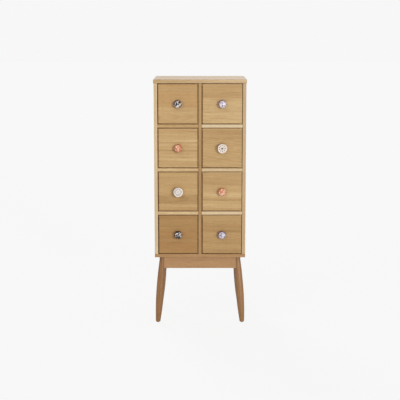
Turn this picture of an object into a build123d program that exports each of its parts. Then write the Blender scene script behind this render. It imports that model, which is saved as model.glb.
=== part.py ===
from build123d import *
import math
import os

# Drawer cabinet on a splayed leg frame: eight drawers in two columns and four rows
# Millimetres, +Z up, drawer fronts towards -Y, origin on the floor at the middle of the object

# Carcass boards
body_width = 400.0
body_depth = 300.0
board = 15.0
top_board = 16.0
top_overhang = 2.0
bay_height = 177.0
rows = 4
arris = 0.6
top_round = 1.5

# Back panel, let into a rebate
back_ply = 5.0
rebate = 8.0
ply_screw_length = 18.0
ply_screw_radius = 1.5
ply_screw_head = 3.0

# Dowels
dowel_radius = 4.0
dowel_reach = 10.0
dowel_margin = 45.0
dowel_chamfer = 1.0
glue_gap = 0.1
end_gap = 1.0

# Drawer fronts and boxes
front_thickness = 16.0
front_inset = 2.5
front_gap = 2.2
front_round = 1.0
run_gap = 0.3
box_headroom = 26.7
box_wall = 10.0
box_round = 1.5
lap = 5.0
base_ply = 4.0
base_rise = 8.0
groove = 4.0
back_setback = 8.0
back_drop = 4.0

# Drawer stops
stop_width = 22.0
stop_depth = 12.0
stop_height = 14.0
stop_setback = 9.2

# Ceramic knobs
domed_radius = 18.5
domed_belly = 12.5
domed_depth = 26.0
disc_radius = 22.5
disc_depth = 17.0
disc_rim = 3.2
disc_dish = 2.2
disc_boss = 5.5
neck_radius = 9.5
neck_height = 2.0

# Knob fixings
collar_radius = 11.0
collar_depth = 3.0
collar_round = 1.0
bolt_radius = 2.0
bolt_chamfer = 0.5
bolt_gap = 0.25
bolt_bite = 13.0
bolt_tail = 3.0
washer_radius = 6.0
washer_thickness = 1.0
nut_radius = 4.0
nut_thickness = 3.2
cap_radius = 4.6
cap_depth = 2.6

# Leg frame
leg_height = 300.0
leg_top_inset = 33.5
leg_foot_inset = 11.5
leg_top_radius = 11.2
leg_belly_radius = 17.4
leg_foot_radius = 9.8
leg_belly_height = 150.0
foot_round = 3.5
rail_height = 54.0
rail_thickness = 15.0
rail_proud = 14.0
rail_end = 6.1
rail_round = 1.0

# Corner blocks, hanger bolts and frame screws
block_height = 40.0
block_near = 15.5
block_far = 44.0
hanger_radius = 3.0
hanger_chamfer = 0.75
hanger_bite = 19.0
hanger_tail = 3.0
hanger_washer_radius = 7.0
hanger_washer = 1.2
hanger_nut_radius = 5.8
hanger_nut = 5.0
frame_screw_radius = 2.0
frame_screw_head = 4.0
frame_screw_bite = 10.0
frame_screw_sink = 15.0
frame_screw_spread = 14.0

# Countersinks, and the cross recess in a screw's head as shares of the head's radius
countersink = 90.0
recess_span = 1.3
recess_width = 0.36
recess_depth = 0.4

# Foot glides
glide_radius = 6.0
glide_height = 2.0
glide_round = 0.5
glide_pin_radius = 0.9
glide_pin_length = 12.0

# Places worked out from the sizes above
half_width = body_width / 2
inner_half = half_width - board
knob_reach = collar_depth + max(domed_depth, disc_depth + cap_depth)
knob_proud = max(knob_reach - front_inset, top_overhang)
front_y = (knob_proud - body_depth) / 2
back_y = front_y + body_depth
middle_y = (front_y + back_y) / 2
ply_y = back_y - back_ply

floor_z = leg_height + board
ceiling_z = floor_z + rows * bay_height + (rows - 1) * board
top_z = ceiling_z + top_board

face_y = front_y + front_inset
joint_y = face_y + front_thickness
stop_y = ply_y - stop_setback - stop_depth
drawer_end_y = stop_y - run_gap
box_height = bay_height - run_gap - box_headroom

columns = {"left": (-inner_half, -board / 2), "right": (board / 2, inner_half)}
legs = {"front_left": (-1, -1), "front_right": (1, -1), "back_left": (-1, 1), "back_right": (1, 1)}

leg_top_x = half_width - leg_top_inset
leg_top_y = body_depth / 2 - leg_top_inset
leg_foot_x = half_width - leg_foot_inset
leg_foot_y = body_depth / 2 - leg_foot_inset
rail_x = leg_top_x + rail_proud
rail_y = leg_top_y + rail_proud
rail_end_x = leg_top_x - rail_end
rail_end_y = leg_top_y - rail_end
rail_z = leg_height - rail_height
block_z = leg_height - block_height
frame_screw_length = block_height - frame_screw_sink + frame_screw_bite

os.makedirs("parts", exist_ok=True)


def bay_floor(row):
    # Row 1 is the top row
    return floor_z + (rows - row) * (bay_height + board)


def middle(low, high):
    return (low + high) / 2


def block(x, y, z, mode=Mode.ADD):
    # Adds or cuts a box that is given by its low and high sides
    with Locations((middle(*x), middle(*y), middle(*z))):
        Box(x[1] - x[0], y[1] - y[0], z[1] - z[0], mode=mode)


def save(shape, name):
    shape.label = name
    export_step(shape, f"parts/{name}.step")


def group(pieces, name):
    # Pieces that touch stay separate solids in one file
    save(Compound(label=name, children=[piece.part for piece in pieces]), name)


# Dowels: where they stand, how long they are and the bores that take them
dowel_rows = (front_y + dowel_margin, ply_y - dowel_margin)
post_x = (-half_width + board / 2, 0, half_width - board / 2)
shelf_rows = range(1, rows)


def shelf_middle(row):
    return bay_floor(row) - board / 2


top_dowels = [Plane((x, y, ceiling_z)) for x in post_x for y in dowel_rows]
bottom_dowels = [Plane((x, y, floor_z)) for x in post_x for y in dowel_rows]


def shelf_dowels(x):
    places = [(x, y, shelf_middle(row)) for row in shelf_rows for y in dowel_rows]
    return [Plane(place, z_dir=(1, 0, 0)) for place in places]


def bore_dowels(planes, length=2 * dowel_reach):
    with Locations(planes):
        Cylinder(dowel_radius + glue_gap, length + 2 * end_gap, mode=Mode.SUBTRACT)


# Screws of the back panel: in the sides, the divider, the top panel and the bottom panel
def ply_screw_places():
    post_edges = (-inner_half - rebate / 2, 0, inner_half + rebate / 2)
    bay_middles = [bay_floor(row) + bay_height / 2 for row in range(1, rows + 1)]
    on_posts = [(x, z) for x in post_edges for z in bay_middles]
    column_middles = [middle(*column) for column in columns.values()]
    on_ends = [(x, z) for x in column_middles for z in (floor_z - rebate / 2, ceiling_z + rebate / 2)]
    return [Plane((x, back_y, z), z_dir=(0, 1, 0)) for x, z in on_posts + on_ends]


ply_screws = ply_screw_places()
ply_width = (-inner_half - rebate, inner_half + rebate)


def bore_ply_screws():
    # The pilot holes reach just past the screw tips
    with Locations(ply_screws):
        Hole(ply_screw_radius + glue_gap, ply_screw_length + end_gap)


# Top panel, over the sides, proud of them at the front and at both ends
with BuildPart() as top_panel:
    block(
        (-half_width - top_overhang, half_width + top_overhang),
        (front_y - top_overhang, back_y),
        (ceiling_z, top_z),
    )
    fillet(top_panel.edges().filter_by(Axis.Z), top_round)
    fillet(top_panel.faces().sort_by(Axis.Z)[-1].edges(), top_round)
    block(ply_width, (ply_y, back_y), (ceiling_z, ceiling_z + rebate), Mode.SUBTRACT)
    bore_dowels(top_dowels)
    bore_ply_screws()
save(top_panel.part, "top_panel")

# Bottom panel, under the sides and flush with them, with pilot holes for the frame screws
block_corner_x = rail_x - rail_thickness
block_corner_y = rail_y - rail_thickness
block_depth = (block_near + block_far) / 2 / math.sqrt(2)


def frame_screw_places(z):
    # Two screws in each corner block, one each side of its hanger bolt
    places = []
    for side_x, side_y in legs.values():
        inward = Vector(-side_x, -side_y).normalized()
        across = Vector(-side_y, side_x).normalized()
        corner = Vector(side_x * block_corner_x, middle_y + side_y * block_corner_y, z)
        for spread in (-frame_screw_spread, frame_screw_spread):
            places.append(Plane(corner + inward * block_depth + across * spread))
    return places


with BuildPart() as bottom_panel:
    block((-half_width, half_width), (front_y, back_y), (leg_height, floor_z))
    fillet(bottom_panel.edges().filter_by(Axis.Z), arris)
    fillet(bottom_panel.edges().filter_by(Axis.X).group_by(Axis.Y)[0], arris)
    block(ply_width, (ply_y, back_y), (floor_z - rebate, floor_z), Mode.SUBTRACT)
    bore_dowels(bottom_dowels)
    bore_ply_screws()
    with Locations(frame_screw_places(leg_height)):
        Hole(frame_screw_radius + glue_gap, frame_screw_bite + end_gap)
save(bottom_panel.part, "bottom_panel")


# Side panels, rebated for the back panel
def side_panel(side):
    inner = side * inner_half
    outer = side * half_width
    with BuildPart() as panel:
        block(sorted((inner, outer)), (front_y, back_y), (floor_z, ceiling_z))
        fillet(panel.edges().filter_by(Axis.Z), arris)
        block(sorted((inner, inner + side * rebate)), (ply_y, back_y), (floor_z, ceiling_z), Mode.SUBTRACT)
        bore_dowels(top_dowels + bottom_dowels + shelf_dowels(inner))
        bore_ply_screws()
    return panel


for name, side in (("left_side_panel", -1), ("right_side_panel", 1)):
    save(side_panel(side).part, name)

# Centre divider, in one length from the bottom panel to the top panel
with BuildPart() as centre_divider:
    block((-board / 2, board / 2), (front_y, ply_y), (floor_z, ceiling_z))
    fillet(centre_divider.edges().filter_by(Axis.Z).group_by(Axis.Y)[0], arris)
    bore_dowels(top_dowels + bottom_dowels)
    bore_dowels(shelf_dowels(0), board + 2 * dowel_reach)
    bore_ply_screws()
save(centre_divider.part, "centre_divider")


# Shelves, between a side and the divider
def shelf(column, row):
    low, high = columns[column]
    with BuildPart() as piece:
        block((low, high), (front_y, ply_y), (bay_floor(row) - board, bay_floor(row)))
        fillet(piece.edges().filter_by(Axis.X).group_by(Axis.Y)[0], arris)
        bore_dowels(shelf_dowels(low if column == "left" else high))
        bore_dowels(shelf_dowels(0), board + 2 * dowel_reach)
    return piece


for column in columns:
    for row in shelf_rows:
        save(shelf(column, row).part, f"{column}_shelf_{row}")

# Dowels, all in one file
with BuildPart() as carcass_dowels:
    with Locations(top_dowels + bottom_dowels + shelf_dowels(-inner_half) + shelf_dowels(inner_half)):
        Cylinder(dowel_radius, 2 * dowel_reach)
    with Locations(shelf_dowels(0)):
        Cylinder(dowel_radius, board + 2 * dowel_reach)
    chamfer(carcass_dowels.edges().filter_by(GeomType.CIRCLE), dowel_chamfer)
save(carcass_dowels.part, "carcass_dowels")

# Back panel of plywood, with countersunk holes
with BuildPart() as back_panel:
    block(ply_width, (ply_y, back_y), (floor_z - rebate, ceiling_z + rebate))
    with Locations(ply_screws):
        CounterSinkHole(ply_screw_radius + glue_gap, ply_screw_head + glue_gap, back_ply, countersink)
save(back_panel.part, "back_panel")


# Countersunk screws with a cross recess, their heads flush with the plane that holds them
def screws(planes, radius, head, length):
    neck = (radius, radius - head)
    point = (radius, 2 * radius - length)
    with BuildPart() as screw:
        with BuildSketch(Plane.XZ):
            with BuildLine():
                Polyline((0, 0), (head, 0), neck, point, (0, -length), close=True)
            make_face()
        revolve(axis=Axis.Z)
        with BuildSketch(Plane.XY):
            Rectangle(recess_span * head, recess_width * head)
            Rectangle(recess_width * head, recess_span * head)
        extrude(amount=-recess_depth * head, mode=Mode.SUBTRACT)
    return [plane.location * screw.part for plane in planes]


save(
    Compound(children=screws(ply_screws, ply_screw_radius, ply_screw_head, ply_screw_length)),
    "back_panel_screws",
)

# Drawer stops, glued to the floor of each bay behind the drawer sides
with BuildPart() as drawer_stops:
    for low, high in columns.values():
        for row in range(1, rows + 1):
            stop_span_y = (stop_y, stop_y + stop_depth)
            stop_span_z = (bay_floor(row), bay_floor(row) + stop_height)
            block((low, low + stop_width), stop_span_y, stop_span_z)
            block((high - stop_width, high), stop_span_y, stop_span_z)
save(drawer_stops.part, "drawer_stops")


# Drawer fronts, lapped at both ends over the sides and grooved for the base
def drawer_front(low, high, floor):
    side_top = floor + run_gap + box_height
    base_z = floor + run_gap + base_rise
    with BuildPart() as front:
        block((low, high), (face_y, joint_y), (floor + front_gap, floor + bay_height - front_gap))
        fillet(front.edges().filter_by(Axis.Y), front_round)
        fillet(front.faces().sort_by(Axis.Y)[0].edges(), front_round)
        for end in ((low, low + box_wall), (high - box_wall, high)):
            block(end, (joint_y - lap, joint_y), (floor, side_top), Mode.SUBTRACT)
        block((low, high), (joint_y - groove, joint_y), (base_z, base_z + base_ply), Mode.SUBTRACT)
        with Locations(knob_plane(low, high, floor)):
            Hole(bolt_radius + bolt_gap)
    return front


def knob_plane(low, high, floor):
    # On the front's face at its middle, looking out of the cabinet
    return Plane((middle(low, high), face_y, floor + bay_height / 2), x_dir=(1, 0, 0), z_dir=(0, -1, 0))


# Drawer sides, grooved for the base and for the back
def drawer_side(low, high, floor, side):
    bottom = floor + run_gap
    outer = low if side < 0 else high
    wall = sorted((outer, outer - side * box_wall))
    inner = outer - side * box_wall
    slot = sorted((inner, inner + side * groove))
    back_low = drawer_end_y - back_setback - box_wall
    with BuildPart() as piece:
        block(wall, (joint_y, drawer_end_y), (bottom, bottom + box_height))
        block(wall, (joint_y - lap, joint_y), (floor + front_gap, bottom + box_height))
        fillet(piece.edges().filter_by(Axis.Y).group_by(Axis.Z)[-1], box_round)
        block(
            slot,
            (joint_y - lap, drawer_end_y),
            (bottom + base_rise, bottom + base_rise + base_ply),
            Mode.SUBTRACT,
        )
        block(
            slot,
            (back_low, back_low + box_wall),
            (bottom + base_rise + base_ply, bottom + box_height),
            Mode.SUBTRACT,
        )
    return piece


# Drawer back, let into the sides and standing on the base
def drawer_back(low, high, floor):
    back_low = drawer_end_y - back_setback - box_wall
    base_top = floor + run_gap + base_rise + base_ply
    with BuildPart() as piece:
        block(
            (low + box_wall - groove, high - box_wall + groove),
            (back_low, back_low + box_wall),
            (base_top, floor + run_gap + box_height - back_drop),
        )
    return piece


# Drawer base of plywood, slid in from behind under the back
def drawer_base(low, high, floor):
    base_z = floor + run_gap + base_rise
    with BuildPart() as piece:
        block(
            (low + box_wall - groove, high - box_wall + groove),
            (joint_y - groove, drawer_end_y),
            (base_z, base_z + base_ply),
        )
    return piece


# Domed ceramic knob: a short neck, a round belly and a domed crown, over a blind bore
neck_top = collar_depth + neck_height
knob_bore = bolt_radius + bolt_gap


def domed_knob(plane):
    top = collar_depth + domed_depth
    bore_top = collar_depth + bolt_bite + end_gap
    with BuildPart() as knob:
        with BuildSketch(Plane.XZ):
            with BuildLine():
                Polyline((knob_bore, collar_depth), (neck_radius, collar_depth), (neck_radius, neck_top))
                TangentArc((domed_radius, domed_belly), (neck_radius, neck_top), tangent=(0, -1))
                Spline((domed_radius, domed_belly), (0, top), tangents=((0, 1), (-1, 0)))
                Polyline((0, top), (0, bore_top), (knob_bore, bore_top), (knob_bore, collar_depth))
            make_face()
        revolve(axis=Axis.Z)
    return plane.location * knob.part


# Disc knob: a rounded rim, a shallow dish and a boss for the cap, bored right through
def disc_knob(plane):
    top = collar_depth + disc_depth
    rim_middle = disc_radius - disc_rim
    rim_diagonal = disc_rim * math.sqrt(0.5)
    dish_middle = (rim_middle + disc_boss) / 2
    with BuildPart() as knob:
        with BuildSketch(Plane.XZ):
            with BuildLine():
                Polyline((knob_bore, collar_depth), (neck_radius, collar_depth), (neck_radius, neck_top))
                TangentArc((disc_radius, top - disc_rim), (neck_radius, neck_top), tangent=(0, -1))
                ThreePointArc(
                    (disc_radius, top - disc_rim),
                    (rim_middle + rim_diagonal, top - disc_rim + rim_diagonal),
                    (rim_middle, top),
                )
                ThreePointArc((rim_middle, top), (dish_middle, top - disc_dish), (disc_boss, top))
                Polyline((disc_boss, top), (knob_bore, top), (knob_bore, collar_depth))
            make_face()
        revolve(axis=Axis.Z)
    return plane.location * knob.part


# Knob fixings: collar, bolt, washer and nut, and a cap on the disc knobs' bolts
def collar():
    with BuildPart() as piece:
        Cylinder(collar_radius, collar_depth, align=(Align.CENTER, Align.CENTER, Align.MIN))
        fillet(piece.edges().filter_by(GeomType.CIRCLE).sort_by(Axis.Z)[-1], collar_round)
        Hole(bolt_radius + bolt_gap)
    return piece


def knob_bolt(bolt_top, capped):
    bolt_end = -(front_thickness + washer_thickness + nut_thickness + bolt_tail)
    with BuildPart() as bolt:
        with BuildSketch(Plane.XY.offset(bolt_end)):
            Circle(bolt_radius)
        extrude(amount=bolt_top - bolt_end)
        chamfer(bolt.edges().filter_by(GeomType.CIRCLE).sort_by(Axis.Z)[0], bolt_chamfer)
        if capped:
            with BuildSketch(Plane.XZ):
                with BuildLine():
                    Line((0, bolt_top), (cap_radius, bolt_top))
                    TangentArc((0, bolt_top + cap_depth), (cap_radius, bolt_top), tangent=(1, 0))
                    Line((0, bolt_top + cap_depth), (0, bolt_top))
                make_face()
            revolve(axis=Axis.Z)
    return bolt


def washer(z, radius, thickness, bore):
    with BuildPart() as piece:
        with BuildSketch(Plane.XY.offset(z - thickness)):
            Circle(radius)
            Circle(bore, mode=Mode.SUBTRACT)
        extrude(amount=thickness)
    return piece


def nut(z, radius, thickness, bore):
    with BuildPart() as piece:
        with BuildSketch(Plane.XY.offset(z - thickness)):
            RegularPolygon(radius, 6)
            Circle(bore, mode=Mode.SUBTRACT)
        extrude(amount=thickness)
    return piece


def knob_fixings(plane, disc):
    bolt_top = collar_depth + (disc_depth if disc else bolt_bite)
    inner_face = -front_thickness
    pieces = [
        collar(),
        knob_bolt(bolt_top, disc),
        washer(inner_face, washer_radius, washer_thickness, bolt_radius + bolt_gap),
        nut(inner_face - washer_thickness, nut_radius, nut_thickness, bolt_radius),
    ]
    return [plane.location * piece.part for piece in pieces]


# The eight drawers: the disc knobs stand on the right in row 2 and on the left in row 3
disc_drawers = (("right", 2), ("left", 3))

for column, (bay_low, bay_high) in columns.items():
    for row in range(1, rows + 1):
        name = f"{column}_drawer_{row}"
        low = bay_low + front_gap
        high = bay_high - front_gap
        floor = bay_floor(row)
        plane = knob_plane(low, high, floor)
        disc = (column, row) in disc_drawers
        box = [drawer_side(low, high, floor, side) for side in (-1, 1)]
        box += [drawer_back(low, high, floor), drawer_base(low, high, floor)]
        save(drawer_front(low, high, floor).part, f"{name}_front")
        group(box, f"{name}_box")
        save(disc_knob(plane) if disc else domed_knob(plane), f"{name}_knob")
        save(Compound(children=knob_fixings(plane, disc)), f"{name}_knob_bolt")


# Leg frame: rails between the legs, each with its low and high sides in X and Y
def rail_sides(side_x, side_y):
    if side_x == 0:
        y = sorted((middle_y + side_y * rail_y, middle_y + side_y * (rail_y - rail_thickness)))
        return (-rail_end_x, rail_end_x), y
    x = sorted((side_x * rail_x, side_x * (rail_x - rail_thickness)))
    return x, (middle_y - rail_end_y, middle_y + rail_end_y)


rails = {"front_rail": (0, -1), "back_rail": (0, 1), "left_rail": (-1, 0), "right_rail": (1, 0)}

for name, (side_x, side_y) in rails.items():
    with BuildPart() as rail:
        rail_span_x, rail_span_y = rail_sides(side_x, side_y)
        block(rail_span_x, rail_span_y, (rail_z, leg_height))
        long_axis = Axis.X if side_x == 0 else Axis.Y
        fillet(rail.edges().filter_by(long_axis).group_by(Axis.Z)[0], rail_round)
    save(rail.part, name)


# Hanger bolts run level along the corner's diagonal, from the block's outer face inwards
def hanger_plane(side_x, side_y):
    seat_x = side_x * (block_corner_x - block_near / 2)
    seat_y = middle_y + side_y * (block_corner_y - block_near / 2)
    return Plane((seat_x, seat_y, leg_height - block_height / 2), z_dir=(-side_x, -side_y, 0))


# Turned leg: foot and top narrower than the belly, splayed both ways, housed over the rail ends
def turned_leg(side_x, side_y):
    foot = Vector(side_x * leg_foot_x, middle_y + side_y * leg_foot_y, 0)
    top = Vector(side_x * leg_top_x, middle_y + side_y * leg_top_y, leg_height)
    lean = (top - foot).normalized()
    outward = Vector(side_x, side_y, 0).normalized()
    profile = Plane(foot, x_dir=outward.cross(lean).cross(lean) * -1, z_dir=outward.cross(lean))
    length = (top - foot).length
    spare = leg_top_radius
    with BuildPart() as leg:
        with BuildSketch(profile):
            with BuildLine():
                belly = (leg_belly_radius, leg_belly_height)
                Line((0, 0), (leg_foot_radius, 0))
                TangentArc(belly, (leg_foot_radius, 0), tangent=(0, -1))
                TangentArc(belly, (leg_top_radius, length), tangent=(0, 1))
                Line((leg_top_radius, length), (leg_top_radius, length + spare))
                Line((leg_top_radius, length + spare), (0, length + spare))
                Line((0, length + spare), (0, 0))
            make_face()
        revolve(axis=Axis(foot, lean))
        split(bisect_by=Plane.XY.offset(leg_height), keep=Keep.BOTTOM)
        split(bisect_by=Plane.XY.offset(glide_height), keep=Keep.TOP)
        fillet(leg.faces().sort_by(Axis.Z)[0].edges(), foot_round)
        for rail_side in ((side_x, 0), (0, side_y)):
            block(*rail_sides(*rail_side), (rail_z, leg_height), Mode.SUBTRACT)
        with Locations(hanger_plane(side_x, side_y)):
            Hole(hanger_radius + glue_gap, hanger_bite + end_gap)
        with Locations(glide_plane(side_x, side_y)):
            Hole(glide_pin_radius + glue_gap, glide_height + glide_pin_length + end_gap)
    return leg


# Foot glides: a flat button with a pin up into the foot
def glide_plane(side_x, side_y):
    # Where the leg's axis meets the underside of the foot
    share = glide_height / leg_height
    x = leg_foot_x + (leg_top_x - leg_foot_x) * share
    y = leg_foot_y + (leg_top_y - leg_foot_y) * share
    return Plane((side_x * x, middle_y + side_y * y, 0))


for corner, (side_x, side_y) in legs.items():
    save(turned_leg(side_x, side_y).part, f"{corner}_leg")

with BuildPart() as foot_glides:
    with Locations([glide_plane(*sides) for sides in legs.values()]):
        Cylinder(glide_radius, glide_height, align=(Align.CENTER, Align.CENTER, Align.MIN))
        Cylinder(
            glide_pin_radius,
            glide_height + glide_pin_length,
            align=(Align.CENTER, Align.CENTER, Align.MIN),
        )
    fillet(foot_glides.edges().filter_by(GeomType.CIRCLE).group_by(Axis.Z)[0], glide_round)
save(foot_glides.part, "foot_glides")

# Corner blocks, mitred against the rails, bored for the hanger bolt and sunk for two screws
screw_seats = [plane.rotated((180, 0, 0)) for plane in frame_screw_places(block_z + frame_screw_sink)]

with BuildPart() as corner_blocks:
    with BuildSketch(Plane.XY.offset(block_z)):
        for side_x, side_y in legs.values():
            x = side_x * block_corner_x
            y = middle_y + side_y * block_corner_y
            with BuildLine():
                Polyline(
                    (x - side_x * block_near, y),
                    (x - side_x * block_far, y),
                    (x, y - side_y * block_far),
                    (x, y - side_y * block_near),
                    close=True,
                )
            make_face()
    extrude(amount=block_height)
    with Locations([hanger_plane(*sides) for sides in legs.values()]):
        Hole(hanger_radius + bolt_gap, block_far)
    with Locations(screw_seats):
        CounterSinkHole(
            frame_screw_radius + bolt_gap,
            frame_screw_head + bolt_gap,
            block_height,
            countersink,
        )
save(corner_blocks.part, "corner_blocks")

# Frame screws, driven up from the sunk seats into the bottom panel
save(
    Compound(children=screws(screw_seats, frame_screw_radius, frame_screw_head, frame_screw_length)),
    "frame_screws",
)

# Hanger bolts with a washer and a nut on the inner face of each corner block
block_through = (block_far - block_near) / math.sqrt(2)


def hanger_bolt():
    bolt_start = -hanger_bite
    nut_top = block_through + hanger_washer + hanger_nut
    bolt_end = nut_top + hanger_tail
    with BuildPart() as bolt:
        with BuildSketch(Plane.XY.offset(bolt_start)):
            Circle(hanger_radius)
        extrude(amount=bolt_end - bolt_start)
        chamfer(bolt.edges().filter_by(GeomType.CIRCLE), hanger_chamfer)
    washer_top = block_through + hanger_washer
    return [
        bolt,
        washer(washer_top, hanger_washer_radius, hanger_washer, hanger_radius + bolt_gap),
        nut(nut_top, hanger_nut_radius, hanger_nut, hanger_radius),
    ]


hanger_parts = [
    hanger_plane(*sides).location * piece.part for sides in legs.values() for piece in hanger_bolt()
]
save(Compound(children=hanger_parts), "leg_bolts")
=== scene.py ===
import math

import bpy
from mathutils import Matrix, Vector


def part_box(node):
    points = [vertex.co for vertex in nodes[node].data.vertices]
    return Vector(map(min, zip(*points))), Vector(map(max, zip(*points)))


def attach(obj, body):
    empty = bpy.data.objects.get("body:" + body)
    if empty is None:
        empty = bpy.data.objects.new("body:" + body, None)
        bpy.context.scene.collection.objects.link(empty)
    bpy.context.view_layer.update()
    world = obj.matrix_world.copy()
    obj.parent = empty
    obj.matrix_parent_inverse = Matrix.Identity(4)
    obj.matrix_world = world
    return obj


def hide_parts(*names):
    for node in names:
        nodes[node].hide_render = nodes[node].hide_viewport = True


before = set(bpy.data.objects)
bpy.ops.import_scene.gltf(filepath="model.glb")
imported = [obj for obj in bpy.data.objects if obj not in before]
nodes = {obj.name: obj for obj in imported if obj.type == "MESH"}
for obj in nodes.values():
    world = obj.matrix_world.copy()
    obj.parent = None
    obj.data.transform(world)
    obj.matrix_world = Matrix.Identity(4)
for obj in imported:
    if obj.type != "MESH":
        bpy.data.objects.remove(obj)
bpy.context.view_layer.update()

bpy.ops.object.select_all(action="DESELECT")

mm = 0.001
sideways = Vector((1, 0, 0))
inwards = Vector((0, 1, 0))
upwards = Vector((0, 0, 1))


# camera

cameraSetup = {
    "distance": 4.5,      # in front of the cabinet's middle
    "height": 1.3285,
    "aimHeight": 0.534,
    "lens": 90.8,
}

cameraData = bpy.data.cameras.new("camera")
cameraData.lens = cameraSetup["lens"]
camera = bpy.data.objects.new("camera", cameraData)
bpy.context.scene.collection.objects.link(camera)
camera.location = (0, -cameraSetup["distance"], cameraSetup["height"])
aim = Vector((0, 0, cameraSetup["aimHeight"])) - camera.location
camera.rotation_euler = aim.to_track_quat("-Z", "Y").to_euler()
bpy.context.scene.camera = camera
bpy.context.scene.view_settings.view_transform = "Standard"
print("Camera placed")


# node helpers

def put(tree, kind, inputs=None, **settings):
    # adds a node; an input given as a socket is linked, anything else is set as its value
    node = tree.nodes.new("ShaderNode" + kind)
    for name, value in settings.items():
        setattr(node, name, value)
    for name, value in (inputs or {}).items():
        if isinstance(value, bpy.types.NodeSocket):
            tree.links.new(value, node.inputs[name])
        else:
            node.inputs[name].default_value = value
    return node


def calc(tree, operation, first, second=0.0, third=0.0, clamp=False):
    node = put(tree, "Math", {0: first, 1: second, 2: third}, operation=operation, use_clamp=clamp)
    return node.outputs[0]


def vectorCalc(tree, operation, first, second=(0.0, 0.0, 0.0)):
    node = put(tree, "VectorMath", {0: first, 1: second}, operation=operation)
    return node.outputs["Value" if operation in ("LENGTH", "DOT_PRODUCT") else "Vector"]


def mix(tree, factor, first, second, blend="MIX"):
    node = put(tree, "Mix", {0: factor, 6: first, 7: second}, data_type="RGBA", blend_type=blend)
    return node.outputs[2]


def spread(tree, value, low, high, outLow=0.0, outHigh=1.0):
    # a soft step from low to high
    limits = {"Value": value, "From Min": low, "From Max": high, "To Min": outLow, "To Max": outHigh}
    return put(tree, "MapRange", limits, interpolation_type="SMOOTHSTEP").outputs[0]


def noise(tree, vector, stretch, detail=1.0, distortion=0.0):
    # stretch is how many blotches fit in a metre along each axis
    stretched = vectorCalc(tree, "MULTIPLY", vector, stretch)
    settings = {"Vector": stretched, "Scale": 1.0, "Detail": detail, "Distortion": distortion}
    return put(tree, "TexNoise", settings).outputs[0]


def ramp(tree, value, stops):
    node = put(tree, "ValToRGB", {0: value})
    elements = node.color_ramp.elements
    while len(elements) < len(stops):
        elements.new(0.5)
    for element, (place, colour) in zip(elements, stops):
        element.position = place
        element.color = colour
    return node.outputs[0]


def tint(red, green, blue):
    # a colour as a picker shows it, 0 to 255, turned into the linear values that nodes take
    def linear(value):
        value /= 255
        return value / 12.92 if value <= 0.04045 else ((value + 0.055) / 1.055) ** 2.4
    return (linear(red), linear(green), linear(blue), 1.0)


def grey(value):
    return (value, value, value, 1.0)


def newGroup(name, given, made):
    tree = bpy.data.node_groups.new(name, "ShaderNodeTree")
    for label, (kind, value) in given.items():
        socket = tree.interface.new_socket(label, in_out="INPUT", socket_type="NodeSocket" + kind)
        if value is not None:
            socket.default_value = value
    for label, kind in made.items():
        tree.interface.new_socket(label, in_out="OUTPUT", socket_type="NodeSocket" + kind)
    entry = tree.nodes.new("NodeGroupInput")
    leave = tree.nodes.new("NodeGroupOutput")
    return tree, entry.outputs, leave.inputs


def newMaterial(name):
    material = bpy.data.materials.new(name)
    material.use_nodes = True
    tree = material.node_tree
    return material, tree, tree.nodes["Principled BSDF"]


def feed(tree, shader, **values):
    # names of the shader's sockets with their spaces left out
    sockets = {socket.name.replace(" ", ""): socket for socket in shader.inputs}
    for name, value in values.items():
        if isinstance(value, bpy.types.NodeSocket):
            tree.links.new(value, sockets[name])
        else:
            sockets[name].default_value = value


# shared effects

figureScale = {
    # blotches in a metre along, across and through the board, and the detail of the noise
    "wander": ((1.5, 9.0, 9.0), 1.0),
    "wobble": ((6.0, 50.0, 50.0), 2.0),
    "band": ((1.6, 15.0, 15.0), 1.5),
    "streak": ((2.4, 90.0, 90.0), 2.0),
    "line": ((9.0, 170.0, 170.0), 1.0),
    "fibre": ((16.0, 850.0, 850.0), 1.0),
    "pore": ((55.0, 1500.0, 900.0), 0.0),
    "fleck": ((40.0, 260.0, 90.0), 0.0),
}
figureTone = {
    "level": 0.42,                              # of the way from the light to the dark colour
    "streak": 0.7,
    "fibre": 0.5,
    "fleck": -0.18,
    "poreColour": (0.42, 0.33, 0.24, 1.0),
    "endGrain": 0.66,                           # what end grain and seams are multiplied by
    "seam": 0.8,
}
figureShape = {
    "taper": 0.05,                              # how fast the log widens
    "wander": 0.022,
    "wobble": 0.003,
    "gloss": 0.44,
}


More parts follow.
